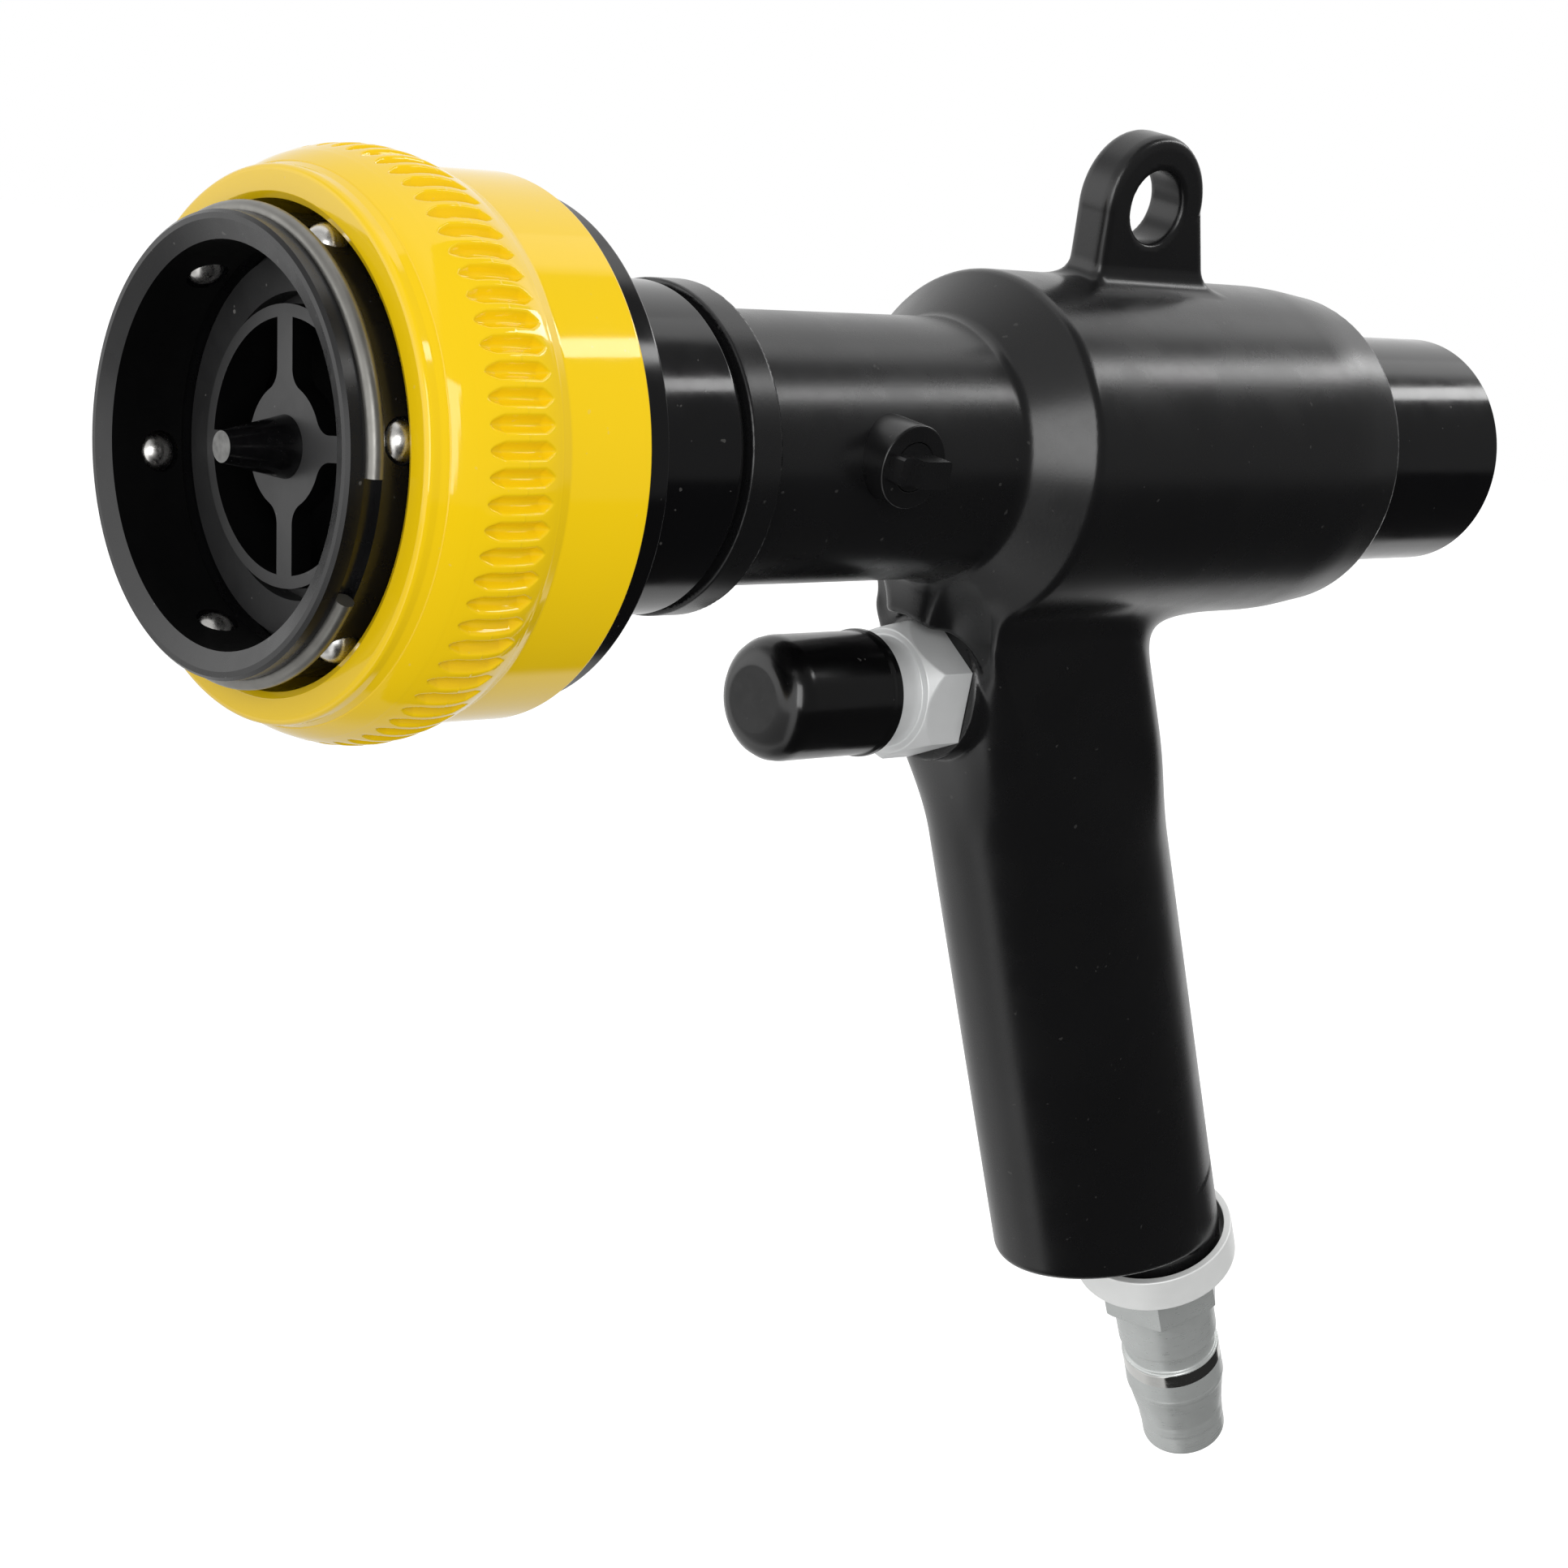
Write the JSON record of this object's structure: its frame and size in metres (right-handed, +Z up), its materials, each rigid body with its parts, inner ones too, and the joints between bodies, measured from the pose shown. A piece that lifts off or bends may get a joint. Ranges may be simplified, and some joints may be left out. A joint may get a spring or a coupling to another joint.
{
  "type": "air inflator gun",
  "caption": "Pistol-grip air inflator gun with a ball-locking quick coupling, sliding collar, push-button valve, open rear air intake and a push-in inlet plug.",
  "frame": {"origin": "centre of the coupling mouth, on the barrel axis, in the plane of the socket's front face", "axes": "+X runs back along the barrel from the mouth to the air intake, +Z is up towards the hanging eye, Y is across the gun, the side port faces -Y"},
  "size_m": [0.1738, 0.0526, 0.169],
  "materials": {
    "body_nylon": "satin black glass-filled nylon with a fine moulded grain",
    "gloss_black": "smooth glossy black",
    "socket_black": "grey-black moulded face with a smooth bore",
    "spider_black": "grey-black moulding with a glossy pin",
    "collar_yellow": "glossy yellow moulding",
    "wire_steel": "drawn steel wire",
    "ball_steel": "polished bearing steel",
    "spring_steel": "spring wire",
    "bright_aluminium": "bright satin turned aluminium",
    "zinc_steel": "dull zinc-plated steel",
    "gasket_rubber": "grey-black flat rubber",
    "o_ring_rubber": "black nitrile rubber",
    "cap_vinyl": "glossy black dipped vinyl"
  },
  "bodies": {
    "gun": {"gun_body": "body_nylon", "neck_adapter": "gloss_black", "coupling_socket": "socket_black", "retaining_ring": "wire_steel", "coupling_gasket": "gasket_rubber", "pin_spider": "spider_black", "collar_spring": "spring_steel", "neck_o_ring": "o_ring_rubber", "valve_bush": "bright_aluminium", "rod_o_ring": "o_ring_rubber", "valve_seat": "bright_aluminium", "seat_ring": "o_ring_rubber", "valve_spring": "spring_steel", "jet_ring": "bright_aluminium", "intake_sleeve": "gloss_black", "sleeve_o_ring": "o_ring_rubber", "grip_ferrule": "bright_aluminium", "inlet_plug": "zinc_steel", "inlet_seal": "gasket_rubber", "port_plug": "body_nylon"},
    "collar": {"locking_collar": "collar_yellow"},
    "ball_1": {"lock_ball_1": "ball_steel"},
    "ball_2": {"lock_ball_2": "ball_steel"},
    "ball_3": {"lock_ball_3": "ball_steel"},
    "ball_4": {"lock_ball_4": "ball_steel"},
    "ball_5": {"lock_ball_5": "ball_steel"},
    "ball_6": {"lock_ball_6": "ball_steel"},
    "button": {"button_cap": "cap_vinyl", "push_rod": "wire_steel", "valve_poppet": "wire_steel"}
  },
  "joints": [
    {"name": "collar_slide", "type": "slide", "parent": "gun", "child": "collar", "axis": [-1, 0, 0], "range_m": [0, 0.0036], "deforming": ["collar_spring"]},
    {"name": "ball_1_slide", "type": "slide", "parent": "gun", "child": "ball_1", "axis": [0, 0.9578, -0.2874], "range_m": [0, 0.00075]},
    {"name": "ball_2_slide", "type": "slide", "parent": "gun", "child": "ball_2", "axis": [0, 0.23, -0.9732], "range_m": [0, 0.00075]},
    {"name": "ball_3_slide", "type": "slide", "parent": "gun", "child": "ball_3", "axis": [0, -0.7278, -0.6858], "range_m": [0, 0.00075]},
    {"name": "ball_4_slide", "type": "slide", "parent": "gun", "child": "ball_4", "axis": [0, -0.9578, 0.2874], "range_m": [0, 0.00075]},
    {"name": "ball_5_slide", "type": "slide", "parent": "gun", "child": "ball_5", "axis": [0, -0.23, 0.9732], "range_m": [0, 0.00075]},
    {"name": "ball_6_slide", "type": "slide", "parent": "gun", "child": "ball_6", "axis": [0, 0.7278, 0.6858], "range_m": [0, 0.00075]},
    {"name": "button_slide", "type": "slide", "parent": "gun", "child": "button", "axis": [1, 0, 0], "range_m": [0, 0.0026], "stiffness_N_per_m": 600, "springref_m": -0.003, "deforming": ["valve_spring"]}
  ],
  "couplings": [
    {"joint": "ball_1_slide", "follows": "collar_slide", "ratio": 0.2},
    {"joint": "ball_2_slide", "follows": "collar_slide", "ratio": 0.2},
    {"joint": "ball_3_slide", "follows": "collar_slide", "ratio": 0.2},
    {"joint": "ball_4_slide", "follows": "collar_slide", "ratio": 0.2},
    {"joint": "ball_5_slide", "follows": "collar_slide", "ratio": 0.2},
    {"joint": "ball_6_slide", "follows": "collar_slide", "ratio": 0.2}
  ]
}
